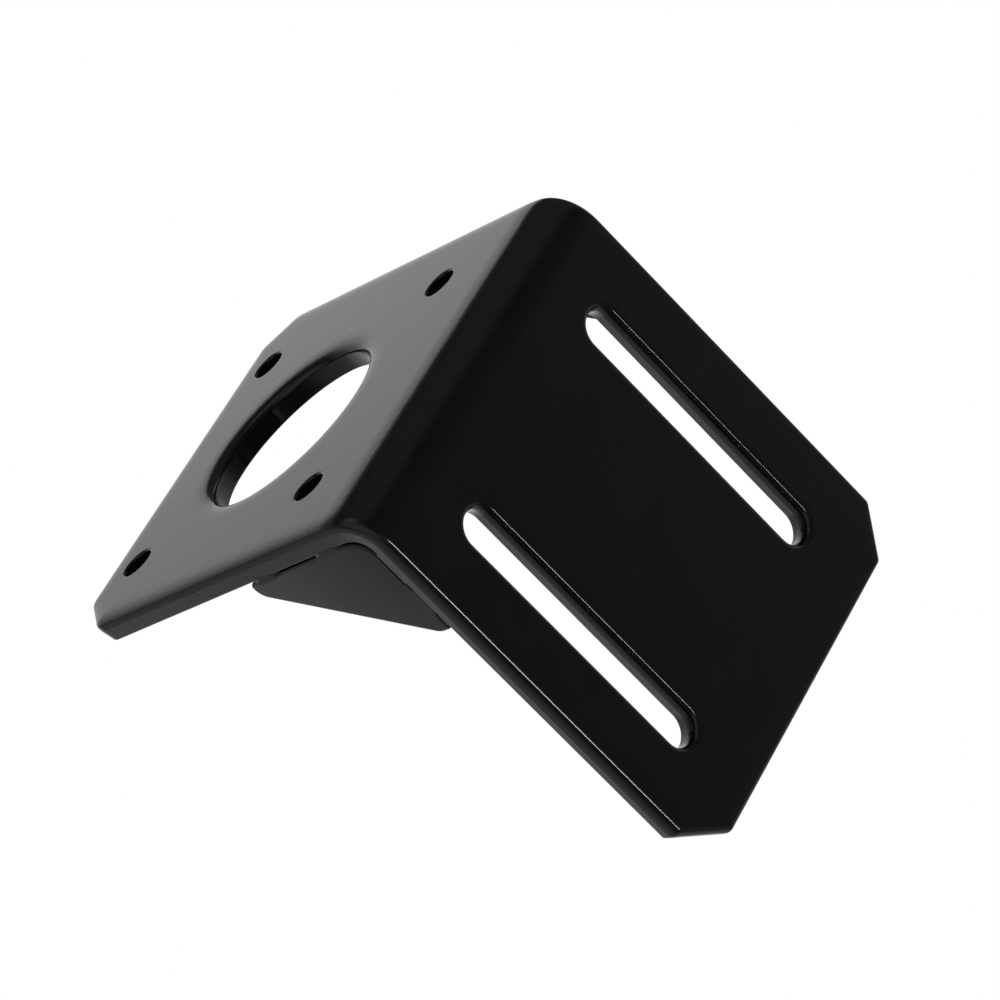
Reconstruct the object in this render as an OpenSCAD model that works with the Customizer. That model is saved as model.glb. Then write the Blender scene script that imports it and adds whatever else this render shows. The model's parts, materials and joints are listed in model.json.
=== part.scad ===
/* [Sheet] */
// Thickness of the folded sheet
sheet_t = 3; // [2:0.1:4]
// Width of both legs, along the fold
leg_w = 49.4; // [46:0.2:70]
// Inside radius of the fold
fold_in_r = 2.2; // [1:0.1:4]
// Cut across each free corner, measured along the edges
corner_cut = 4.4; // [2:0.1:5.5]
// Radius that blends the ends of each corner cut
corner_blend = 1.6; // [0.5:0.1:3]
// Radius that punching leaves on the outer rims of the sheet, the bore and the slots
edge_roll = 1; // [0.3:0.1:1.5]

/* [Motor plate] */
// Height of the motor axis above the underside of the base
motor_axis_h = 30.5; // [29.5:0.5:40]
// Height of the motor plate above the motor axis
plate_above_axis = 21; // [20:0.5:30]
// Diameter of the motor's pilot boss
pilot_d = 22; // [18:0.5:24]
// Clearance of the bore around the pilot boss, on the diameter
pilot_clearance = 0.4; // [0.1:0.1:1]
// Spacing of the motor screws, the same both ways
screw_spacing = 31; // [30:0.5:33]
// Thread diameter of the motor screws
motor_screw_d = 3; // [2.5:0.5:4]
// Clearance of the motor holes around the screws, on the diameter
motor_screw_clearance = 0.7; // [0.2:0.1:1]

/* [Base plate] */
// Length of the base plate from the motor face to its free edge
base_l = 53.9; // [50:0.1:80]
// Thread diameter of the screws in the slots
base_screw_d = 4; // [3:0.5:5]
// Clearance of the slots around the screws, on the width
base_screw_clearance = 0.3; // [0.2:0.1:1]
// Length of each slot, end to end
slot_l = 34.3; // [15:0.1:36]
// Distance between the centre lines of the slots
slot_spacing = 29.7; // [24:0.1:34]
// Margin from the slots to the free edge of the base
slot_margin = 9.2; // [6:0.1:14]

/* [Gussets] */
// Thickness of each gusset
gusset_t = 3; // [2:0.1:4]
// Height of each gusset above the inside of the base
gusset_rise = 19.2; // [16:0.1:24]
// Reach of each gusset from the inside of the motor plate
gusset_run = 13.6; // [12:0.1:20]
// Width of the blunt end at each tip of a gusset
gusset_land = 1.8; // [1.5:0.1:3]
// Radius that blends each tip into the sloping edge
gusset_blend = 2; // [0.5:0.1:2.4]
// Step from the side edge of the legs in to the face of each gusset
gusset_inset = 0.3; // [0.1:0.1:1]
// Open gap between a gusset and the sheet where there is no weld
gusset_gap = 0.15; // [0.1:0.05:0.6]

/* [Welds] */
// How far a bead spreads over the face of a gusset
bead_spread = 1.9; // [1:0.1:3]
// Length of each bead
bead_l = 4.1; // [2:0.1:5]
// Distance from the upper tip of a gusset down to its first bead
top_bead_in = 0.7; // [0.3:0.1:1.5]
// Distance from the end of the fold's curve up to the bead above it
fold_bead_up = 1.3; // [0.5:0.1:2]
// Distance from the bead on the base to the toe of the gusset
foot_bead_in = 2.1; // [1:0.1:3]

/* [Hidden] */
$fn = 96;
coat_color = [0.07, 0.07, 0.075];
fold_out_r = fold_in_r + sheet_t;
motor_plate_h = motor_axis_h + plate_above_axis;
bore_d = pilot_d + pilot_clearance;
motor_hole_d = motor_screw_d + motor_screw_clearance;
slot_w = base_screw_d + base_screw_clearance;
side_x = leg_w / 2;
front_y = -base_l / 2;
// Cutters run this far past the faces they cut
overcut = 1;

function unit(v) = v / norm(v);

// Distance from a corner to where its blend starts, for the corner b between a and c
function blend_reach(a, b, c, r) =
    let (turn = acos(unit(b - a) * unit(c - b))) r * tan(turn / 2);

function blend_start(a, b, c, r) = b + unit(a - b) * blend_reach(a, b, c, r);

function blend_centre(a, b, c, r) =
    let (bisector = unit(unit(a - b) + unit(c - b)))
    b + bisector * norm([r, blend_reach(a, b, c, r)]);

// Round tip of the corner b between a and c, as a sector that reaches its blend's centre
module blend_tip(a, b, c, r) {
    centre = blend_centre(a, b, c, r);
    intersection() {
        translate(centre) circle(r = r);
        polygon([blend_start(a, b, c, r), b, blend_start(c, b, a, r), centre]);
    }
}

// Outline through the corners, each rounded to its own radius, with 0 for a sharp corner
module blended_outline(corners, radii) {
    n = len(corners);
    polygon([
        for (i = [0 : n - 1])
            let (a = corners[(i + n - 1) % n], b = corners[i], c = corners[(i + 1) % n])
            each [blend_start(a, b, c, radii[i]), blend_start(c, b, a, radii[i])]
    ]);
    for (i = [0 : n - 1])
        if (radii[i] > 0)
            blend_tip(corners[(i + n - 1) % n], corners[i], corners[(i + 1) % n], radii[i]);
}

// Section of the sheet, w across and with its outer face at y = 0, where both rims are rolled
module sheet_section(w) {
    translate([-w / 2, edge_roll]) square([w, sheet_t - edge_roll]);
    translate([edge_roll - w / 2, 0]) square([w - 2 * edge_roll, sheet_t]);
    for (x = [-1, 1])
        translate([x * (w / 2 - edge_roll), edge_roll]) circle(r = edge_roll);
}

// Strip of that sheet along y, with its outer face at z = 0
module sheet_strip(w, l) {
    translate([0, l, 0])
        rotate([90, 0, 0])
            linear_extrude(2 * l) sheet_section(w);
}

// Flat outline of a leg from the fold, at y = 0, to its free edge
module leg_outline(l) {
    blended_outline(
        [[-side_x, 0], [side_x, 0], [side_x, l - corner_cut], [side_x - corner_cut, l],
         [corner_cut - side_x, l], [-side_x, l - corner_cut]],
        [0, 0, corner_blend, corner_blend, corner_blend, corner_blend]);
}

// Flat leg with a rolled rim round its sides, its free edge and both corner cuts
module leg(l) {
    reach = l + side_x;
    intersection() {
        linear_extrude(sheet_t) leg_outline(l);
        sheet_strip(leg_w, reach);
        rotate([0, 0, 90]) sheet_strip(2 * l, reach);
        for (turn = [-45, 45])
            rotate([0, 0, turn]) sheet_strip(sqrt(2) * (reach - corner_cut), reach);
    }
}

module base_leg() {
    translate([0, front_y + fold_out_r, 0])
        leg(base_l - fold_out_r);
}

module motor_leg() {
    translate([0, front_y, fold_out_r])
        rotate([90, 0, 0])
            mirror([0, 0, 1]) leg(motor_plate_h - fold_out_r);
}

module fold() {
    translate([0, front_y + fold_out_r, fold_out_r])
        rotate([90, 0, 90])
            rotate([0, 0, 180])
                rotate_extrude(angle = 90)
                    translate([fold_out_r, 0]) rotate([0, 0, 90]) sheet_section(leg_w);
}

// Section of an opening through the sheet, w across, flared over the rolled rims at y = 0
module opening_section(w) {
    translate([-w / 2, -overcut]) square([w, sheet_t + 2 * overcut]);
    difference() {
        translate([-w / 2 - edge_roll, -overcut])
            square([w + 2 * edge_roll, edge_roll + overcut]);
        for (x = [-1, 1])
            translate([x * (w / 2 + edge_roll), edge_roll]) circle(r = edge_roll);
    }
}

// Round opening with its flare at z = 0
module round_opening(d) {
    rotate_extrude()
        intersection() {
            opening_section(d);
            translate([0, -overcut]) square([d, sheet_t + 2 * overcut]);
        }
}

module through_motor_plate() {
    translate([0, front_y, motor_axis_h])
        rotate([-90, 0, 0])
            children();
}

module motor_holes() {
    through_motor_plate() round_opening(bore_d);
    through_motor_plate()
        for (x = [-1, 1], y = [-1, 1])
            translate([x * screw_spacing / 2, y * screw_spacing / 2, -overcut])
                cylinder(d = motor_hole_d, h = sheet_t + 2 * overcut);
}

module slot() {
    run = slot_l - slot_w;
    translate([0, base_l / 2 - slot_margin - slot_w / 2, 0]) {
        for (y = [0, -run])
            translate([0, y, 0]) round_opening(slot_w);
        rotate([90, 0, 0])
            linear_extrude(run) opening_section(slot_w);
    }
}

module folded_plate() {
    color(coat_color)
        difference() {
            union() {
                base_leg();
                motor_leg();
                fold();
            }
            motor_holes();
            for (x = [-1, 1])
                translate([x * slot_spacing / 2, 0, 0])
                    slot();
        }
}

// Places a child drawn across the fold in the y-z plane, measured from the two inside
// faces, at the left side edge, and gives it a thickness inwards
module in_left_fold(inset, t) {
    translate([inset - side_x, front_y + sheet_t, sheet_t])
        rotate([90, 0, 90])
            linear_extrude(t) children();
}

module gusset() {
    color(coat_color)
        in_left_fold(gusset_inset, gusset_t)
            blended_outline(
                [[gusset_gap, gusset_gap], [gusset_run, gusset_gap],
                 [gusset_run, gusset_land], [gusset_land, gusset_rise],
                 [gusset_gap, gusset_rise]],
                [fold_in_r - gusset_gap, 0, gusset_blend, gusset_blend, 0]);
}

// Section of a bead: it fills the gap through the gusset and spreads over its outer face
module bead_section() {
    polygon([[0, 0], [gusset_inset, bead_spread], [gusset_inset, gusset_gap],
             [gusset_inset + gusset_t, gusset_gap], [gusset_inset + gusset_t, 0]]);
}

// A bead on the base starts at y, and one on the motor plate starts at z
module base_bead(y) {
    translate([-side_x, front_y + sheet_t + y + bead_l, sheet_t])
        rotate([90, 0, 0])
            linear_extrude(bead_l) bead_section();
}

module motor_bead(z) {
    translate([-side_x, front_y + sheet_t, sheet_t + z])
        linear_extrude(bead_l) bead_section();
}

module weld_beads() {
    color(coat_color) {
        motor_bead(gusset_rise - top_bead_in - bead_l);
        motor_bead(fold_in_r + fold_bead_up);
        base_bead(gusset_run - foot_bead_in - bead_l);
    }
}

module left_gusset() {
    gusset();
}

module right_gusset() {
    mirror([1, 0, 0]) gusset();
}

module left_weld_beads() {
    weld_beads();
}

module right_weld_beads() {
    mirror([1, 0, 0]) weld_beads();
}

folded_plate();
left_gusset();
right_gusset();
left_weld_beads();
right_weld_beads();
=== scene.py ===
import json
import math

import bmesh
import bpy
from mathutils import Matrix, Quaternion, Vector
from mathutils.geometry import delaunay_2d_cdt


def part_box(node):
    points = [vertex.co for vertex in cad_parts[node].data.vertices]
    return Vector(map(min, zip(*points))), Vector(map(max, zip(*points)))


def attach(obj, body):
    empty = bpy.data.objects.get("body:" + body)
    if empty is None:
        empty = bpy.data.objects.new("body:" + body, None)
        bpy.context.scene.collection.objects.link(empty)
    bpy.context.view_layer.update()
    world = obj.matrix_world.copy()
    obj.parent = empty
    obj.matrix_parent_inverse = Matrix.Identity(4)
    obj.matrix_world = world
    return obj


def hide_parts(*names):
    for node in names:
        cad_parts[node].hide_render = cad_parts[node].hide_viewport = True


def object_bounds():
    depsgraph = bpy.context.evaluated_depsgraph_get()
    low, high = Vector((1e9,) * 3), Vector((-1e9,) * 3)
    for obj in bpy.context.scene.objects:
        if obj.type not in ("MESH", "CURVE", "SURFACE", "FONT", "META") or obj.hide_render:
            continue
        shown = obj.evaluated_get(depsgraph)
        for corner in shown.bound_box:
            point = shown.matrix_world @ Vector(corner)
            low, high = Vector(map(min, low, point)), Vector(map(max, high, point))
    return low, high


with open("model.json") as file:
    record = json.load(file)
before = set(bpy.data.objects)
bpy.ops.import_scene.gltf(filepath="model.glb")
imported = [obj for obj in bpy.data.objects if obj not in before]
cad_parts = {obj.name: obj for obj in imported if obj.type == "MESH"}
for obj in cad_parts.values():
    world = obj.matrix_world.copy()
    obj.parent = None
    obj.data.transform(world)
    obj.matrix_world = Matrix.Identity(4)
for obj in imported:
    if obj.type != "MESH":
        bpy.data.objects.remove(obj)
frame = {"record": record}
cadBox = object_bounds()
print("frame loaded")

# Lengths are in mm while a piece is laid out, and become metres in its mesh
toMetres = 0.001
closeEnough = 0.001         # between places that count as the same
samePoint = 1e-7            # between points that a fill may join
sharpestBlend = 0.2         # the radius that stays where an inset would close a corner
smallestCross = 0.0001      # twice the area, in square mm, of the thinnest triangle that is kept
fewestCornerSteps = 4
fewestArcSteps = 2
runPerArc = 4               # a straight run's parts are so many times as long as an arc's
runSlack = 0.01             # share of that length by which they may be longer
fillClearance = 0.45        # share of a fill's grid that its points keep from the border
mounts = {m["name"]: m for m in frame["record"]["mounts"]}


def boxInMm(node):
    low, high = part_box(node)
    return low / toMetres, high / toMetres


def placeInMm(mount):
    return Vector(mount["pos_m"]) / toMetres


# Skins: points and normals laid out flat, as across, along and depth, then placed by a map

def newSkin():
    return {"points": [], "normals": [], "faces": []}


def addPoint(skin, point, normal):
    skin["points"].append(point)
    skin["normals"].append(normal)
    return len(skin["points"]) - 1


# Walks round a closed outline drawn in by an inset, and gives each point with its direction away
# from the metal. Each corner has a radius, and 0 keeps it as a plain point on a straight run.
def walkCorners(corners, spacing, inset):
    walk = []
    count = len(corners)
    for i, (here, radius) in enumerate(corners):
        here = Vector(here)
        before = (Vector(corners[i - 1][0]) - here).normalized()
        after = (Vector(corners[(i + 1) % count][0]) - here).normalized()
        if radius == 0:
            out = Vector((after.y, -after.x))
            walk.append((here - out * inset, out))
            continue
        turn = math.pi - before.angle(after, math.pi)
        inwards = (before + after).normalized()
        kept = max(radius - inset, sharpestBlend)
        reach = kept * math.tan(turn / 2)
        toCentre = math.hypot(kept, reach)
        centre = here + inwards * (inset / math.cos(turn / 2) + toCentre)
        steps = max(fewestCornerSteps, math.ceil(turn * radius / spacing))
        start = (before * reach - inwards * toCentre).normalized()
        for k in range(steps + 1):
            out = start.copy()
            out.rotate(Matrix.Rotation(turn * k / steps, 2))
            walk.append((centre + out * kept, out))
    return walk


# How many parts each straight run takes, so that none is much longer than the gap
def runParts(walk, gap):
    return [max(1, math.ceil((after[0] - here[0]).length / gap - runSlack))
            for here, after in zip(walk, walk[1:] + walk[:1])]


def fillRuns(walk, parts):
    filled = []
    for (here, out), (after, outAfter), count in zip(walk, walk[1:] + walk[:1], parts):
        filled.append((here, out))
        for k in range(1, count):
            filled.append((here.lerp(after, k / count), out.lerp(outAfter, k / count).normalized()))
    return filled


# The rings of an outline and of a hole, each as a function of the inset
def outlineRings(corners, spacing):
    parts = runParts(walkCorners(corners, spacing, 0), spacing * runPerArc)
    return lambda inset: fillRuns(walkCorners(corners, spacing, inset), parts)


def holeRings(walk):
    return lambda inset: [(place - out * inset, out) for place, out in walk]


def ringWalk(centre, radius, steps):
    walk = []
    for k in range(steps):
        turn = -2 * math.pi * k / steps
        spoke = Vector((math.cos(turn), math.sin(turn)))
        walk.append((centre + spoke * radius, -spoke))
    return walk


# A slot's walk: two half rings with straight runs between them
def slotWalk(centre, halfRun, radius, steps, gap):
    walk = []
    for end, first in ((1, 0), (-1, math.pi)):
        middle = centre + Vector((0, end * halfRun))
        for k in range(steps + 1):
            turn = first + math.pi * k / steps
            spoke = Vector((math.cos(turn), math.sin(turn)))
            walk.append((middle + spoke * radius, -spoke))
    return fillRuns(walk, runParts(walk, gap))


# Adds an arc to a section's rows for each slope and radius, and returns the last slope
def addArcs(rows, arcs, turned, arcStep):
    for degrees, radius in arcs:
        end = math.radians(degrees)
        steps = max(fewestArcSteps, math.ceil((end - turned) / math.radians(arcStep)))
        inset, depth = rows[-1][:2]
        for k in range(1, steps + 1):
            slope = turned + (end - turned) * k / steps
            rows.append((inset - radius * (math.sin(slope) - math.sin(turned)),
                         depth + radius * (math.cos(turned) - math.cos(slope)),
                         Vector((math.sin(slope), -math.cos(slope)))))
        turned = end
    return turned


# Section of a cut edge, from the outer face to the inner one, as inset, depth and normal. Its
# arcs are given as the slope that each one turns to, in degrees, and its radius. The slope is 0
# on the outer face, 90 on a wall and 180 back on the inner face. A straight run joins the outer
# arcs to the inner ones.
def edgeSection(thick, edge):
    rows = [(0, 0, Vector((0, -1)))]
    slope = addArcs(rows, edge["outerArcs"], 0, edge["arcStep"])
    inset, depth = rows[-1][:2]
    ends = [edge["outerArcs"][-1], *edge["innerArcs"]]
    below = sum(radius * (math.cos(math.radians(before)) - math.cos(math.radians(after)))
                for (before, _), (after, radius) in zip(ends, ends[1:]))
    run = thick - below - depth
    for k in range(1, edge["runSteps"] + 1):
        part = run * k / edge["runSteps"]
        rows.append((inset - part * math.cos(slope) / math.sin(slope), depth + part,
                     Vector((math.sin(slope), -math.cos(slope)))))
    addArcs(rows, edge["innerArcs"], slope, edge["arcStep"])
    furthest = min(row[0] for row in rows)
    return [(row[0] - furthest, row[1], row[2]) for row in rows]


# Skins a cut edge along its rings, and returns the first and the last. The edge may change from
# one section to another of as many rows, by the shares that each spot takes of them.
def skinEdge(skin, ringAt, sections, sharesAt=lambda spot: (1,)):
    rings = []
    for rows in zip(*sections):
        ring = []
        for spots in zip(*[ringAt(row[0]) for row in rows]):
            shares = sharesAt(spots[0][0])
            spot = sum((s[0] * share for s, share in zip(spots, shares)), Vector((0, 0)))
            depth = sum(row[1] * share for row, share in zip(rows, shares))
            normal = sum((row[2] * share for row, share in zip(rows, shares)), Vector((0, 0)))
            facing = spots[0][1] * normal.x
            ring.append(addPoint(skin, (spot.x, spot.y, depth), (facing.x, facing.y, normal.y)))
        rings.append(ring)
    for upper, lower in zip(rings, rings[1:]):
        for i in range(len(upper)):
            skin["faces"].append((upper[i - 1], upper[i], lower[i], lower[i - 1]))
    return rings[0], rings[-1]


def isInside(spot, loop):
    inside = False
    for a, b in zip(loop, loop[1:] + loop[:1]):
        if (a.y > spot.y) != (b.y > spot.y):
            if spot.x < a.x + (spot.y - a.y) / (b.y - a.y) * (b.x - a.x):
                inside = not inside
    return inside


# Fills a flat face between its border and its holes, with even triangles
def fillFace(skin, border, holes, grid):
    loops = [border] + holes
    flat = [[Vector(skin["points"][i][:2]) for i in loop] for loop in loops]
    ids = [i for loop in loops for i in loop]
    spots, sides = [], []
    for loop in flat:
        first = len(spots)
        sides += [(first + k, first + (k + 1) % len(loop)) for k in range(len(loop))]
        spots += loop
    bounding = list(spots)
    depth = skin["points"][border[0]][2]
    normal = (0, 0, skin["normals"][border[0]][2])
    low = Vector((min(p.x for p in flat[0]), min(p.y for p in flat[0])))
    high = Vector((max(p.x for p in flat[0]), max(p.y for p in flat[0])))

    def onMetal(spot):
        return isInside(spot, flat[0]) and not any(isInside(spot, hole) for hole in flat[1:])

    columns = math.ceil((high.x - low.x) / grid)
    rows = math.ceil((high.y - low.y) / grid)
    for row in range(1, rows):
        for column in range(1, columns):
            spot = Vector((low.x + (high.x - low.x) * column / columns,
                           low.y + (high.y - low.y) * row / rows))
            nearest = min((spot - p).length for p in bounding)
            if onMetal(spot) and nearest > grid * fillClearance:
                ids.append(addPoint(skin, (spot.x, spot.y, depth), normal))
                spots.append(spot)
    # 0 asks for triangles over the whole hull. Those off the metal go, and so do slivers between
    # points of one straight run.
    places, _, triangles, sources = delaunay_2d_cdt(spots, sides, [], 0, samePoint)[:4]
    for triangle in triangles:
        a, b, c = (places[k] for k in triangle)
        if abs((b - a).cross(c - a)) > smallestCross and onMetal((a + b + c) / 3):
            skin["faces"].append(tuple(ids[sources[k][0]] for k in triangle))


# Bows a piece a little, as a sheet that was cut and pressed is, by turning its normals away from
# the middle by so much for each mm
def bowSkin(skin, middle, turnAcross, turnAlong):
    for k, (spot, normal) in enumerate(zip(skin["points"], skin["normals"])):
        skin["normals"][k] = (normal[0] + turnAcross * (spot[0] - middle[0]),
                              normal[1] + turnAlong * (spot[1] - middle[1]), normal[2])


# Shows a mesh as a piece of the bracket
def showPiece(name, mesh, material):
    mesh.materials.append(material)
    piece = bpy.data.objects.new(name, mesh)
    bpy.context.scene.collection.objects.link(piece)
    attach(piece, "root")
    print(name, len(mesh.polygons), "faces")
    return piece


# Turns a skin into a piece, with the faces turned outwards and the true normals kept
def makePiece(name, skin, place, material):
    points, normals = [], []
    for point, normal in zip(skin["points"], skin["normals"]):
        spot, axes = place(*point)
        points.append(spot * toMetres)
        normals.append(sum((a * n for a, n in zip(axes, normal)), Vector()).normalized())
    faces = []
    for face in skin["faces"]:
        corners = [points[k] for k in face]
        across = (corners[1] - corners[0]).cross(corners[2] - corners[0])
        if len(face) > 3:
            across += (corners[2] - corners[0]).cross(corners[3] - corners[0])
        outwards = sum((normals[k] for k in face), Vector())
        faces.append(face if across.dot(outwards) > 0 else face[::-1])
    mesh = bpy.data.meshes.new(name)
    mesh.from_pydata(points, [], faces)
    mesh.shade_smooth()
    mesh.normals_split_custom_set_from_vertices(normals)
    return showPiece(name, mesh, material)


# Nodes

def addNode(tree, kind, values=None, **settings):
    node = tree.nodes.new(kind)
    for name, value in settings.items():
        setattr(node, name, value)
    for name, value in (values or {}).items():
        node.inputs[name].default_value = value
    return node


# Mixes two colours, each a socket or a plain colour
def addColourMix(tree, factor, first, second):
    mix = addNode(tree, "ShaderNodeMix", data_type="RGBA")
    tree.links.new(factor, mix.inputs["Factor"])
    sockets = {s.identifier: s for s in mix.inputs}
    for name, colour in (("A_Color", first), ("B_Color", second)):
        if isinstance(colour, tuple):
            sockets[name].default_value = colour
        else:
            tree.links.new(colour, sockets[name])
    return next(s for s in mix.outputs if s.identifier == "Result_Color")


noiseSpan = {"From Min": 0.3, "From Max": 0.7}      # where most of a noise lies


# The coat's own texture, shared by every coated piece: orange peel, fine grain and slow patches,
# each scaled by how many of it go to a metre
def makeCoatGroup():
    group = bpy.data.node_groups.new("coatTexture", "ShaderNodeTree")
    sockets = group.interface
    for name, start in (("Peel Scale", 900.0), ("Grain Scale", 6000.0), ("Patch Scale", 120.0),
                        ("Grain Share", 0.3), ("Wave Share", 0.0), ("Patch Depth", 0.2),
                        ("Smooth Roughness", 0.25), ("Rough Roughness", 0.33)):
        made = sockets.new_socket(name, in_out="INPUT", socket_type="NodeSocketFloat")
        made.default_value = start
    for name in ("Dark Coat", "Light Coat"):
        sockets.new_socket(name, in_out="INPUT", socket_type="NodeSocketColor")
    sockets.new_socket("Color", in_out="OUTPUT", socket_type="NodeSocketColor")
    sockets.new_socket("Roughness", in_out="OUTPUT", socket_type="NodeSocketFloat")
    sockets.new_socket("Height", in_out="OUTPUT", socket_type="NodeSocketFloat")
    given = addNode(group, "NodeGroupInput")
    result = addNode(group, "NodeGroupOutput")
    where = addNode(group, "ShaderNodeTexCoord")
    noises = {}
    for name, detail in (("Peel", 0.5), ("Grain", 1.0), ("Patch", 3.0)):
        noise = addNode(group, "ShaderNodeTexNoise", {"Detail": detail, "Roughness": 0.5})
        group.links.new(where.outputs["Object"], noise.inputs["Vector"])
        group.links.new(given.outputs[name + " Scale"], noise.inputs["Scale"])
        noises[name] = noise.outputs["Fac"]
    height = addNode(group, "ShaderNodeMix", data_type="FLOAT")
    group.links.new(given.outputs["Grain Share"], height.inputs["Factor"])
    group.links.new(noises["Peel"], height.inputs["A"])
    group.links.new(noises["Grain"], height.inputs["B"])
    waves = addNode(group, "ShaderNodeMath", operation="MULTIPLY_ADD")
    group.links.new(noises["Patch"], waves.inputs[0])
    group.links.new(given.outputs["Wave Share"], waves.inputs[1])
    group.links.new(height.outputs["Result"], waves.inputs[2])
    group.links.new(waves.outputs["Value"], result.inputs["Height"])
    # patches move the shade a little, and the grain speckles it
    speckle = addNode(group, "ShaderNodeMix", data_type="FLOAT")
    group.links.new(given.outputs["Patch Depth"], speckle.inputs["Factor"])
    group.links.new(noises["Grain"], speckle.inputs["A"])
    group.links.new(noises["Patch"], speckle.inputs["B"])
    shade = addNode(group, "ShaderNodeMapRange", noiseSpan)
    group.links.new(speckle.outputs["Result"], shade.inputs["Value"])
    mixed = addColourMix(group, shade.outputs["Result"], given.outputs["Dark Coat"],
                         given.outputs["Light Coat"])
    group.links.new(mixed, result.inputs["Color"])
    gloss = addNode(group, "ShaderNodeMapRange", noiseSpan)
    group.links.new(noises["Patch"], gloss.inputs["Value"])
    group.links.new(given.outputs["Smooth Roughness"], gloss.inputs["To Min"])
    group.links.new(given.outputs["Rough Roughness"], gloss.inputs["To Max"])
    group.links.new(gloss.outputs["Result"], result.inputs["Roughness"])
    return group


coatGroup = makeCoatGroup()


def makeCoat(name, look):
    material = bpy.data.materials.new(name)
    material.use_nodes = True
    tree = material.node_tree
    shader = tree.nodes["Principled BSDF"]
    shader.inputs["IOR"].default_value = look["ior"]
    texture = addNode(tree, "ShaderNodeGroup", node_tree=coatGroup)
    for socket, value in look["texture"].items():
        texture.inputs[socket].default_value = value
    bump = addNode(tree, "ShaderNodeBump",
                   {"Strength": look["bumpStrength"], "Distance": look["bumpHeight"] * toMetres})
    tree.links.new(texture.outputs["Color"], shader.inputs["Base Color"])
    tree.links.new(texture.outputs["Roughness"], shader.inputs["Roughness"])
    tree.links.new(texture.outputs["Height"], bump.inputs["Height"])
    tree.links.new(bump.outputs["Normal"], shader.inputs["Normal"])
    return material


# The folded plate

sheetThickness = 3.0

plateShape = {
    # the outside of the fold, as the slope that each arc turns to, in degrees, and its radius
    "foldArcs": ((3, 14.0), (83, 5.15), (90, 20.0)),
    "foldStep": 3.0,             # degrees between the fold's lines
    "baseCuts": (5.3, 4.7),      # at the left and the right corner
    "motorCuts": (4.9, 4.1),
    "baseBlend": 0.8,            # radius at the ends of a cut
    "motorBlend": 2.0,
    "arcSpacing": 0.35,
    "grid": 2.4,
    "boreSteps": 144,
    "screwSteps": 48,
    "slotEndSteps": 24,
    "bow": 0.0012,               # turn of the outer and inner faces for each mm off the middle
    # punching rolls the outer rim over, and the sheet breaks back under the straight wall. The
    # rims of the outline turn at the same slopes, and the motor plate's is the softest.
    "baseRim": {"outerArcs": ((1.5, 60.0), (6, 9.5), (11, 0.85), (17, 0.85), (25, 0.85),
                              (36, 0.85), (60, 0.85), (90, 1.6), (94, 6.0), (100, 0.5)),
                "innerArcs": ((180, 0.28),), "arcStep": 5.0, "runSteps": 3},
    "baseRightRim": {"outerArcs": ((1.5, 40.0), (6, 6.0), (11, 0.5), (17, 0.5), (25, 0.5),
                                   (36, 0.5), (60, 0.5), (90, 0.8), (94, 6.0), (100, 0.5)),
                     "innerArcs": ((180, 0.28),), "arcStep": 5.0, "runSteps": 3},
    "motorRim": {"outerArcs": ((1.5, 38.0), (6, 8.0), (11, 5.0), (17, 2.6), (25, 1.6),
                               (36, 1.0), (60, 0.5), (90, 0.5), (94, 6.0), (100, 0.5)),
                 "innerArcs": ((180, 0.28),), "arcStep": 5.0, "runSteps": 3},
    "boreRim": {"outerArcs": ((3, 20.0), (12, 5.5), (30, 1.6), (60, 0.8), (90, 0.8)),
                "innerArcs": ((180, 0.22),), "arcStep": 5.0, "runSteps": 3},
    "screwRim": {"outerArcs": ((30, 0.4), (90, 0.25)), "innerArcs": ((180, 0.2),),
                 "arcStep": 10.0, "runSteps": 1},
    "slotRim": {"outerArcs": ((1.5, 20.0), (34, 0.8), (45, 0.3), (60, 0.8), (90, 1.6),
                              (94, 6.0), (100, 0.5)),
                "innerArcs": ((180, 0.22),), "arcStep": 5.0, "runSteps": 3},
}

plateLook = {
    "ior": 1.5,
    "bumpStrength": 0.8,
    "bumpHeight": 0.01,
    "texture": {
        "Peel Scale": 1600.0, "Grain Scale": 4000.0, "Patch Scale": 150.0,
        "Grain Share": 0.05, "Wave Share": 1.5, "Patch Depth": 0.6,
        "Smooth Roughness": 0.14, "Rough Roughness": 0.17,
        "Dark Coat": (0.007, 0.007, 0.0073, 1), "Light Coat": (0.011, 0.011, 0.0114, 1),
    },
}


# How far the outer face goes along and up from the fold's start until it has turned that far,
# with its length measured along the outer face
def foldWalk(arcs, turn):
    along, up, length, turned = 0, 0, 0, 0
    for degrees, radius in arcs:
        end = min(math.radians(degrees), turn)
        if end > turned:
            along += radius * (math.sin(end) - math.sin(turned))
            up += radius * (math.cos(turned) - math.cos(end))
            length += radius * (end - turned)
            turned = end
    return along, up, length


def turnAt(arcs, length):
    turned = 0
    for degrees, radius in arcs:
        step = math.radians(degrees) - turned
        if length < radius * step:
            return turned + length / radius
        length -= radius * step
        turned = math.radians(degrees)
    return turned


# The sheet laid flat: where the fold starts and ends along it, its far edge and its fold lines
def laySheet(shape, low, high):
    arcs = shape["foldArcs"]
    reach, rise, foldLength = foldWalk(arcs, math.pi / 2)
    start = high.y - low.y - reach
    end = start + foldLength
    count = math.ceil(90 / shape["foldStep"])
    lines = [start + foldWalk(arcs, math.pi / 2 * k / count)[2] for k in range(count + 1)]
    return {"low": low, "high": high, "arcs": arcs, "reach": reach, "rise": rise,
            "start": start, "foldLength": foldLength, "end": end,
            "farEdge": end + high.z - low.z - rise, "lines": lines}


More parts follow.
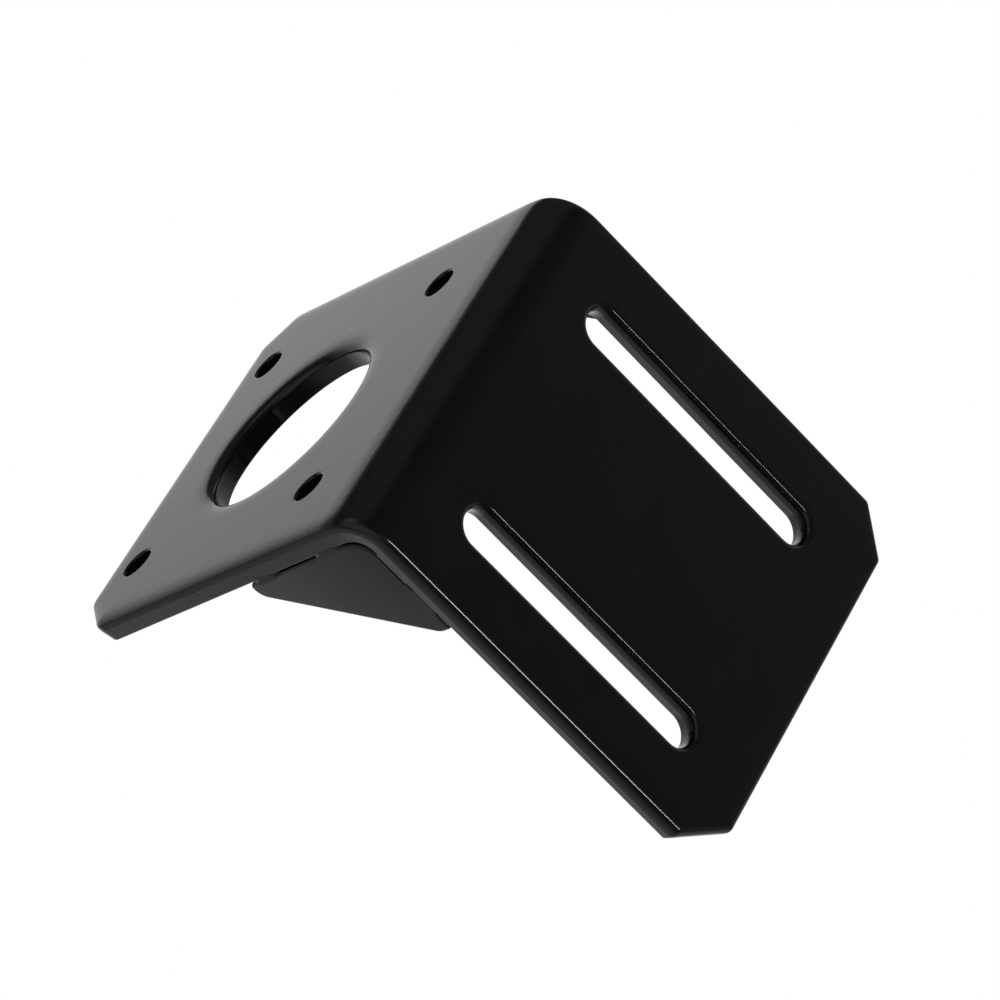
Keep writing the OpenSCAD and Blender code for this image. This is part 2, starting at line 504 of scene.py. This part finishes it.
# Gives the function that takes a place on the flat sheet to the folded plate
def foldPlace(sheet):
    low, high = sheet["low"], sheet["high"]

    def place(across, along, depth):
        if along <= sheet["start"]:
            turn = 0
            spot = Vector((across, high.y - along, low.z + depth))
        elif along >= sheet["end"]:
            turn = math.pi / 2
            spot = Vector((across, low.y + depth, low.z + sheet["rise"] + along - sheet["end"]))
        else:
            turn = turnAt(sheet["arcs"], along - sheet["start"])
            ahead, up = foldWalk(sheet["arcs"], turn)[:2]
            spot = Vector((across, low.y + sheet["reach"] - ahead + depth * math.sin(turn),
                           low.z + up + depth * math.cos(turn)))
        onwards = Vector((0, -math.cos(turn), math.sin(turn)))
        inwards = Vector((0, math.sin(turn), math.cos(turn)))
        return spot, (Vector((1, 0, 0)), onwards, inwards)

    return place


# The outline of the flat sheet, with a plain point at each end of each fold line
def sheetCorners(shape, sheet):
    low, high, lines, far = (sheet[name] for name in ("low", "high", "lines", "farEdge"))
    left, right = shape["baseCuts"]
    leftUp, rightUp = shape["motorCuts"]
    spots = [(low.x + left, 0), (high.x - right, 0), (high.x, right)]
    spots += [(high.x, line) for line in lines]
    spots += [(high.x, far - rightUp), (high.x - rightUp, far),
              (low.x + leftUp, far), (low.x, far - leftUp)]
    spots += [(low.x, line) for line in reversed(lines)]
    spots += [(low.x, left)]
    return [(spot, 0 if spot[1] in lines else
             shape["motorBlend" if spot[1] > sheet["end"] else "baseBlend"]) for spot in spots]


# Cuts the openings of both legs, each with its ring on the outer face and on the inner one
def cutOpenings(skin, shape, sheet):
    def onMotorPlate(x, z):
        return Vector((x, sheet["end"] + z - sheet["low"].z - sheet["rise"]))

    def cut(walk, rim):
        return skinEdge(skin, holeRings(walk), [edgeSection(sheetThickness, shape[rim])])

    bore = mounts["pilot_bore"]
    boreAt = placeInMm(bore)
    walk = ringWalk(onMotorPlate(boreAt.x, boreAt.z), bore["dims"]["r_mm"], shape["boreSteps"])
    motorHoles = [cut(walk, "boreRim")]
    screws = mounts["motor_screws"]
    screwsAt = placeInMm(screws)
    for x in (-1, 1):
        for z in (-1, 1):
            middle = onMotorPlate(screwsAt.x + x * screws["dims"]["spacing_x_mm"] / 2,
                                  screwsAt.z + z * screws["dims"]["spacing_y_mm"] / 2)
            walk = ringWalk(middle, screws["dims"]["hole_r_mm"], shape["screwSteps"])
            motorHoles.append(cut(walk, "screwRim"))
    baseHoles = []
    for name in ("left_slot", "right_slot"):
        slot = mounts[name]
        slotAt = placeInMm(slot)
        radius = slot["dims"]["hole_r_mm"]
        halfRun = slot["dims"]["slot_length_mm"] / 2 - radius
        walk = slotWalk(Vector((slotAt.x, sheet["high"].y - slotAt.y)), halfRun, radius,
                        shape["slotEndSteps"], shape["arcSpacing"] * runPerArc)
        baseHoles.append(cut(walk, "slotRim"))
    return baseHoles, motorHoles


# Rows of points across the sheet on its fold lines, from side to side of a border
def foldRows(skin, border, lines, columns):
    points = skin["points"]
    rows = []
    for line in lines:
        ends = [i for i in border if abs(points[i][1] - line) < closeEnough]
        left = min(ends, key=lambda i: points[i][0])
        right = max(ends, key=lambda i: points[i][0])
        row = [left]
        for k in range(1, columns):
            across = points[left][0] + (points[right][0] - points[left][0]) * k / columns
            row.append(addPoint(skin, (across, line, points[left][2]),
                                (0, 0, skin["normals"][left][2])))
        rows.append(row + [right])
    return rows


# The one stretch of a closed ring where the flags are up
def ringStretch(ring, flags):
    first = next(k for k in range(len(ring)) if flags[k] and not flags[k - 1])
    return (ring[first:] + ring[:first])[:sum(flags)]


# The outer or the inner face of the plate: a flat fill on each leg, and quads round the fold
def fillPlateFace(skin, border, baseHoles, motorHoles, sheet, grid):
    columns = math.ceil((sheet["high"].x - sheet["low"].x) / grid)
    rows = foldRows(skin, border, sheet["lines"], columns)
    for near, far in zip(rows, rows[1:]):
        for k in range(columns):
            skin["faces"].append((near[k], near[k + 1], far[k + 1], far[k]))
    alongs = [skin["points"][i][1] for i in border]
    onBase = [along < sheet["start"] - closeEnough for along in alongs]
    onMotorPlate = [along > sheet["end"] + closeEnough for along in alongs]
    for flags, row, holes in ((onBase, rows[0], baseHoles), (onMotorPlate, rows[-1], motorHoles)):
        edge = ringStretch(border, flags)
        back = row if skin["points"][edge[-1]][0] < 0 else row[::-1]
        fillFace(skin, edge + back, holes, grid)


def buildPlate(shape, look):
    low, high = boxInMm("folded_plate")
    sheet = laySheet(shape, low, high)

    # shares of the base's rim, of its right side's and of the motor plate's
    def rimShares(spot):
        motor = min(max((spot.y - sheet["start"]) / sheet["foldLength"], 0), 1)
        right = min(max(0.5 + spot.x / (high.x - low.x), 0), 1)
        return (1 - motor) * (1 - right), (1 - motor) * right, motor

    skin = newSkin()
    outline = outlineRings(sheetCorners(shape, sheet), shape["arcSpacing"])
    rims = [edgeSection(sheetThickness, shape[rim])
            for rim in ("baseRim", "baseRightRim", "motorRim")]
    borders = skinEdge(skin, outline, rims, rimShares)
    openings = cutOpenings(skin, shape, sheet)
    for side, border in enumerate(borders):
        baseHoles, motorHoles = ([rings[side] for rings in holes] for holes in openings)
        fillPlateFace(skin, border, baseHoles, motorHoles, sheet, shape["grid"])
    bowSkin(skin, (0, 0), shape["bow"], 0)
    plate = makePiece("foldedPlate", skin, foldPlace(sheet), makeCoat("plateCoat", look))
    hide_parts("folded_plate")


buildPlate(plateShape, plateLook)


# The gussets, one at each side of the fold

gussetShape = {
    "tipWidth": 1.8,        # from the sheet to where the sloping edge starts, at both tips
    "tipBlend": 2.0,
    "heelBlend": 3.0,       # leaves the widest gap at the inside of the fold
    "footBlend": 0.45,
    "arcSpacing": 0.25,
    "grid": 1.6,
    "bow": 0.007,           # turn of both faces for each mm away from the heel
    "rim": {"outerArcs": ((60, 0.35), (90, 0.4)), "innerArcs": ((180, 0.25),),
            "arcStep": 8.0, "runSteps": 2},
}

gussetLook = {
    "ior": 1.5,
    "bumpStrength": 0.8,
    "bumpHeight": 0.01,
    "texture": {
        "Peel Scale": 1600.0, "Grain Scale": 4000.0, "Patch Scale": 200.0,
        "Grain Share": 0.05, "Wave Share": 1.5, "Patch Depth": 0.6,
        "Smooth Roughness": 0.25, "Rough Roughness": 0.31,
        "Dark Coat": (0.008, 0.008, 0.0083, 1), "Light Coat": (0.012, 0.012, 0.0124, 1),
    },
}


def buildGusset(name, node, side, shape, material):
    low, high = boxInMm(node)
    plateLow = boxInMm("folded_plate")[0]
    tip = shape["tipWidth"]
    inner = Vector((plateLow.y + sheetThickness, plateLow.z + sheetThickness))
    outerX = high.x if side > 0 else low.x

    def place(along, up, depth):
        spot = Vector((outerX - side * depth, along, up))
        return spot, (Vector((0, 1, 0)), Vector((0, 0, 1)), Vector((-side, 0, 0)))

    corners = [((low.y, low.z), shape["heelBlend"]), ((high.y, low.z), shape["footBlend"]),
               ((high.y, inner.y + tip), shape["tipBlend"]),
               ((inner.x + tip, high.z), shape["tipBlend"]),
               ((low.y, high.z), shape["footBlend"])]
    skin = newSkin()
    section = edgeSection(high.x - low.x, shape["rim"])
    for border in skinEdge(skin, outlineRings(corners, shape["arcSpacing"]), [section]):
        fillFace(skin, border, [], shape["grid"])
    bowSkin(skin, (low.y, low.z), shape["bow"], shape["bow"])
    gusset = makePiece(name, skin, place, material)
    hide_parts(node)


gussetCoat = makeCoat("gussetCoat", gussetLook)
buildGusset("leftGusset", "left_gusset", -1, gussetShape, gussetCoat)
buildGusset("rightGusset", "right_gusset", 1, gussetShape, gussetCoat)


# The weld beads, three short ones on each gusset

beadShape = {
    # each bead's start and end, from the inside faces of the sheet
    "motorBeads": ((14.0, 18.4), (3.4, 8.0)),
    "footBeads": ((7.0, 11.8),),
    # section: how far over the gusset, and how far in from the side of the sheet
    "crown": ((-0.6, 0.36), (-0.25, 0.28), (0.1, 0.268), (0.45, 0.28), (0.8, 0.31)),
    "rootDepth": 3.1,
    "rootWidth": 0.3,
    "ripple": 0.004,
    "ripplePitch": 0.8,
    "endLength": 1.2,       # where a bead sinks towards its end
    "endDrop": 0.4,         # in the gap, at each end
    "faceDrop": 0.04,       # over the gusset's face
    "dropFrom": 0.1,        # where the one drop fades to the other
    "dropTo": 0.3,
    "steps": 40,
    "crownSteps": 20,
}

beadLook = {
    "ior": 1.5,
    "bumpStrength": 0.8,
    "bumpHeight": 0.01,
    "texture": {
        "Peel Scale": 1600.0, "Grain Scale": 4000.0, "Patch Scale": 500.0,
        "Grain Share": 0.1, "Wave Share": 0.5, "Patch Depth": 0.6,
        "Smooth Roughness": 0.25, "Rough Roughness": 0.31,
        "Dark Coat": (0.008, 0.008, 0.0083, 1), "Light Coat": (0.013, 0.013, 0.0134, 1),
    },
}


# A smooth way through a few chosen points, which keeps its direction at each of them
def smoothWay(points, steps):
    points = [Vector(p) for p in points]
    padded = [points[0] * 2 - points[1]] + points + [points[-1] * 2 - points[-2]]
    way = []
    for k in range(steps + 1):
        run = min(int(k * (len(points) - 1) / steps), len(points) - 2)
        t = k * (len(points) - 1) / steps - run
        a, b, c, d = padded[run:run + 4]
        way.append((b * 2 + (c - a) * t + (a * 2 - b * 5 + c * 4 - d) * t * t
                    + (b * 3 - a - c * 3 + d) * t * t * t) / 2)
    return way


def addBead(points, faces, start, end, place, shape):
    crown = smoothWay(shape["crown"], shape["crownSteps"])
    root = [Vector((shape["rootWidth"], shape["rootDepth"])), Vector((0, shape["rootDepth"]))]
    rows = []
    for i in range(shape["steps"] + 1):
        at = start + (end - start) * i / shape["steps"]
        toEnd = max(0, 1 - min(at - start, end - at) / shape["endLength"])
        wave = shape["ripple"] * (0.5 - 0.5 * math.cos(2 * math.pi * at / shape["ripplePitch"]))
        row = []
        for k, spot in enumerate(crown + root):
            middle = math.sin(math.pi * min(k / shape["crownSteps"], 1))
            fade = (spot.x - shape["dropFrom"]) / (shape["dropTo"] - shape["dropFrom"])
            fade = min(max(fade, 0), 1)
            drop = toEnd ** 2 * (shape["endDrop"] * (1 - fade) + shape["faceDrop"] * fade)
            depth = spot.y + (drop + wave * middle if k <= shape["crownSteps"] else 0)
            row.append(len(points))
            points.append(place(at, spot.x, min(depth, shape["rootDepth"])))
        rows.append(row)
    for near, far in zip(rows, rows[1:]):
        for k in range(len(near)):
            faces.append((near[k - 1], near[k], far[k], far[k - 1]))
    faces.append(tuple(rows[0]))
    faces.append(tuple(reversed(rows[-1])))


def buildBeads(name, node, side, shape, material):
    plateLow, plateHigh = boxInMm("folded_plate")
    outerX = plateHigh.x if side > 0 else plateLow.x
    innerY = plateLow.y + sheetThickness
    innerZ = plateLow.z + sheetThickness
    points, faces = [], []

    def onMotorPlate(at, over, depth):
        return (outerX - side * depth, innerY + over, innerZ + at)

    def onBase(at, over, depth):
        return (outerX - side * depth, innerY + at, innerZ + over)

    for runs, place in ((shape["motorBeads"], onMotorPlate), (shape["footBeads"], onBase)):
        for start, end in runs:
            addBead(points, faces, start, end, place, shape)
    mesh = bpy.data.meshes.new(name)
    mesh.from_pydata([Vector(p) * toMetres for p in points], [], faces)
    shells = bmesh.new()
    shells.from_mesh(mesh)
    bmesh.ops.recalc_face_normals(shells, faces=shells.faces)
    shells.to_mesh(mesh)
    shells.free()
    mesh.shade_smooth()
    beads = showPiece(name, mesh, material)
    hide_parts(node)


beadCoat = makeCoat("beadCoat", beadLook)
buildBeads("leftWeldBeads", "left_weld_beads", -1, beadShape, beadCoat)
buildBeads("rightWeldBeads", "right_weld_beads", 1, beadShape, beadCoat)


# The camera, at the photo's place: it looks up at the outer faces from below and the left

cameraSet = {
    "aim": (6.715, -4.974, 22.498),
    "azimuth": -61.694,     # angles in degrees, 0 in front of the motor plate
    "elevation": -48.287,
    "roll": -112.844,
    "distance": 538.7,
    "lens": 182.145,
    "sensor": 36.0,
    "clip": (0.01, 20.0),   # in metres
}


# The way from the bracket back to the camera
def backwards(azimuth, elevation):
    a, e = math.radians(azimuth), math.radians(elevation)
    return Vector((math.sin(a) * math.cos(e), -math.cos(a) * math.cos(e), math.sin(e)))


def makeCamera(setting):
    data = bpy.data.cameras.new("camera")
    data.lens = setting["lens"]
    data.sensor_width = setting["sensor"]
    data.clip_start, data.clip_end = setting["clip"]
    camera = bpy.data.objects.new("camera", data)
    back = backwards(setting["azimuth"], setting["elevation"])
    camera.location = (Vector(setting["aim"]) + back * setting["distance"]) * toMetres
    camera.rotation_mode = "QUATERNION"
    level = (-back).to_track_quat("-Z", "Y")
    camera.rotation_quaternion = level @ Quaternion((0, 0, 1), math.radians(setting["roll"]))
    bpy.context.scene.collection.objects.link(camera)
    bpy.context.scene.camera = camera


makeCamera(cameraSet)
print("camera placed")


# Studio: a soft box overhead, a strip lamp low down on the left, and a pale floor. Places are in
# metres from the middle of the bracket. Each lamp faces the way given, turned about it by so many
# degrees, and its shares say how bright it is at its left and right edges.

lamps = {
    "overhead": {"place": (0.41, 0.13, 1.0), "facing": (0, 0, -1), "turn": 12.0,
                 "size": (1.74, 1.91), "radiance": 0.44, "shares": (0.45, 1.55)},
    "lowLamp": {"place": (-0.428, 0.17, -0.655), "facing": (0.535, -0.213, 0.819), "turn": -19.0,
                "size": (0.3, 0.055), "radiance": 28.0, "shares": (1.6, 0.4)},
}


def makeLamp(name, setting):
    data = bpy.data.lights.new(name, "AREA")
    data.shape = "RECTANGLE"
    data.size, data.size_y = setting["size"]
    data.energy = setting["radiance"] * math.pi * data.size * data.size_y
    data.use_nodes = True
    tree = data.node_tree
    where = addNode(tree, "ShaderNodeNewGeometry")
    split = addNode(tree, "ShaderNodeSeparateXYZ")
    tree.links.new(where.outputs["Parametric"], split.inputs["Vector"])
    left, right = setting["shares"]
    share = addNode(tree, "ShaderNodeMapRange", {"To Min": left, "To Max": right})
    tree.links.new(split.outputs["X"], share.inputs["Value"])
    tree.links.new(share.outputs["Result"], tree.nodes["Emission"].inputs["Strength"])
    lamp = bpy.data.objects.new(name, data)
    middle = (cadBox[0] + cadBox[1]) / 2
    lamp.location = middle + Vector(setting["place"])
    lamp.rotation_mode = "QUATERNION"
    facing = Vector(setting["facing"]).to_track_quat("-Z", "Y")
    lamp.rotation_quaternion = facing @ Quaternion((0, 0, 1), math.radians(setting["turn"]))
    bpy.context.scene.collection.objects.link(lamp)


for lampName, lampSetting in lamps.items():
    makeLamp(lampName, lampSetting)
print("lamps placed:", ", ".join(lamps))

# The shade of each of the room's walls, from straight below, at height -1, to straight above
worldSet = {
    "frontRight": ((-1.0, 0.07), (-0.76, 0.06), (-0.68, 0.05), (-0.6, 0.04), (-0.52, 0.08),
                   (-0.4, 0.15), (-0.24, 0.145), (-0.07, 0.133), (0.1, 0.13), (0.26, 0.103),
                   (0.42, 0.067), (0.6, 0.06), (0.7, 0.25), (0.76, 0.34), (1.0, 0.34)),
    "frontLeft": ((-1.0, 0.07), (-0.7, 0.07), (-0.5, 0.4), (0.3, 0.4), (0.55, 0.1),
                  (0.6, 0.06), (0.7, 0.25), (0.76, 0.34), (1.0, 0.34)),
    "backRight": ((-1.0, 0.07), (-0.8, 0.075), (-0.75, 0.085), (-0.72, 0.11), (-0.7, 0.12),
                  (-0.6, 0.12), (-0.4, 0.35), (0.3, 0.35), (1.0, 0.4)),
    "backLeft": ((-0.9, 0.08), (-0.6, 0.02), (-0.25, 0.02), (0.0, 0.14), (0.25, 0.28),
                 (0.5, 0.32), (1.0, 0.34)),
    # where each wall fades into the next, across the room and from its front to its back
    "frontFade": (-0.9, 0.1),
    "backFade": (-0.25, 0.25),
    "endFade": (-0.25, 0.25),
    # round cards in front of the motor plate and on the right, with the angles from their middle,
    # in radians, where they end and where they are whole
    "cards": ((0.0, -0.999, -0.05), (0.999, 0.0, -0.05)),
    "cardShade": (0.5, 0.5, 0.5, 1),
    "cardEdges": (0.32, 0.2),
    "backdrop": (1, 1, 1, 1),
}


def addRamp(tree, stops, factor):
    ramp = addNode(tree, "ShaderNodeValToRGB")
    tree.links.new(factor, ramp.inputs["Fac"])
    made = ramp.color_ramp.elements
    made.remove(made[1])
    for k, (level, shade) in enumerate(stops):
        stop = made[0] if k == 0 else made.new((level + 1) / 2)
        stop.position = (level + 1) / 2
        stop.color = (shade, shade, shade, 1)
    return ramp.outputs["Color"]


# Fades from one shade to another as a value goes from the first edge to the second
def mixWalls(tree, value, edges, first, second):
    side = addNode(tree, "ShaderNodeMapRange", {"From Min": edges[0], "From Max": edges[1]},
                   interpolation_type="SMOOTHSTEP")
    tree.links.new(value, side.inputs["Value"])
    return addColourMix(tree, side.outputs["Result"], first, second)


# Camera rays see plain white, and the coat mirrors a darker room of four walls and two cards
def makeWorld(setting):
    world = bpy.data.worlds.new("room")
    bpy.context.scene.world = world
    world.use_nodes = True
    tree = world.node_tree
    tree.nodes.clear()
    where = addNode(tree, "ShaderNodeTexCoord")
    split = addNode(tree, "ShaderNodeSeparateXYZ")
    tree.links.new(where.outputs["Generated"], split.inputs["Vector"])
    height = addNode(tree, "ShaderNodeMapRange", {"From Min": -1.0, "From Max": 1.0})
    tree.links.new(split.outputs["Z"], height.inputs["Value"])
    level = height.outputs["Result"]
    ends = []
    for end in ("front", "back"):
        ends.append(mixWalls(tree, split.outputs["X"], setting[end + "Fade"],
                             addRamp(tree, setting[end + "Left"], level),
                             addRamp(tree, setting[end + "Right"], level)))
    shade = mixWalls(tree, split.outputs["Y"], setting["endFade"], ends[0], ends[1])
    cardFade = [math.cos(edge) for edge in setting["cardEdges"]]
    for towards in setting["cards"]:
        near = addNode(tree, "ShaderNodeVectorMath", operation="DOT_PRODUCT")
        near.inputs[1].default_value = towards
        tree.links.new(where.outputs["Generated"], near.inputs[0])
        shade = mixWalls(tree, near.outputs["Value"], cardFade, shade, setting["cardShade"])
    path = addNode(tree, "ShaderNodeLightPath")
    clear = addNode(tree, "ShaderNodeMath", operation="MAXIMUM")
    tree.links.new(path.outputs["Is Camera Ray"], clear.inputs[0])
    tree.links.new(path.outputs["Is Transmission Ray"], clear.inputs[1])
    seen = addColourMix(tree, clear.outputs["Value"], shade, setting["backdrop"])
    light = addNode(tree, "ShaderNodeBackground")
    tree.links.new(seen, light.inputs["Color"])
    output = addNode(tree, "ShaderNodeOutputWorld")
    tree.links.new(light.outputs["Background"], output.inputs["Surface"])


makeWorld(worldSet)
print("room shaded")

floorSet = {
    "radius": 1.2,      # in metres, as the floor's other lengths
    "gap": 0.0001,      # just under the bracket
    "colour": (0.86, 0.86, 0.86, 1),
    "glow": 0.4,        # as a card that is lit from behind
    "fadeStart": 0.25,  # where it starts to melt into the white
    "fadeEnd": 1.1,
    "sides": 96,
}


# Seen from above it is a pale floor that holds the shadow. From below it isn't there, because
# the photo looks up at the bracket.
def makeFloor(setting):
    mesh = bpy.data.meshes.new("floor")
    radius, sides = setting["radius"], setting["sides"]
    height = cadBox[0].z - setting["gap"]
    turns = [2 * math.pi * k / sides for k in range(sides)]
    ring = [(math.cos(turn) * radius, math.sin(turn) * radius, height) for turn in turns]
    mesh.from_pydata(ring, [], [tuple(range(sides))])
    material = bpy.data.materials.new("floorCard")
    material.use_nodes = True
    tree = material.node_tree
    tree.nodes.clear()
    card = addNode(tree, "ShaderNodeBsdfDiffuse", {"Color": setting["colour"]})
    glow = addNode(tree, "ShaderNodeEmission", {"Strength": setting["glow"]})
    lit = addNode(tree, "ShaderNodeAddShader")
    tree.links.new(card.outputs["BSDF"], lit.inputs[0])
    tree.links.new(glow.outputs["Emission"], lit.inputs[1])
    clear = addNode(tree, "ShaderNodeBsdfTransparent")
    path = addNode(tree, "ShaderNodeLightPath")
    side = addNode(tree, "ShaderNodeNewGeometry")
    where = addNode(tree, "ShaderNodeTexCoord")
    reach = addNode(tree, "ShaderNodeVectorMath", operation="LENGTH")
    tree.links.new(where.outputs["Object"], reach.inputs[0])
    fade = addNode(tree, "ShaderNodeMapRange",
                   {"From Min": setting["fadeStart"], "From Max": setting["fadeEnd"],
                    "To Min": 1.0, "To Max": 0.0}, interpolation_type="SMOOTHSTEP")
    tree.links.new(reach.outputs["Value"], fade.inputs["Value"])
    front = addNode(tree, "ShaderNodeMath", operation="SUBTRACT", use_clamp=True)
    tree.links.new(path.outputs["Is Camera Ray"], front.inputs[0])
    tree.links.new(side.outputs["Backfacing"], front.inputs[1])
    seen = addNode(tree, "ShaderNodeMath", operation="MULTIPLY")
    tree.links.new(front.outputs["Value"], seen.inputs[0])
    tree.links.new(fade.outputs["Result"], seen.inputs[1])
    mix = addNode(tree, "ShaderNodeMixShader")
    tree.links.new(seen.outputs["Value"], mix.inputs["Fac"])
    tree.links.new(clear.outputs["BSDF"], mix.inputs[1])
    tree.links.new(lit.outputs["Shader"], mix.inputs[2])
    output = addNode(tree, "ShaderNodeOutputMaterial")
    tree.links.new(mix.outputs["Shader"], output.inputs["Surface"])
    mesh.materials.append(material)
    floor = bpy.data.objects.new("floor", mesh)
    bpy.context.scene.collection.objects.link(floor)


makeFloor(floorSet)
print("floor laid")

bpy.context.scene.view_settings.view_transform = "Standard"
bpy.context.view_layer.update()
print("scene ready")
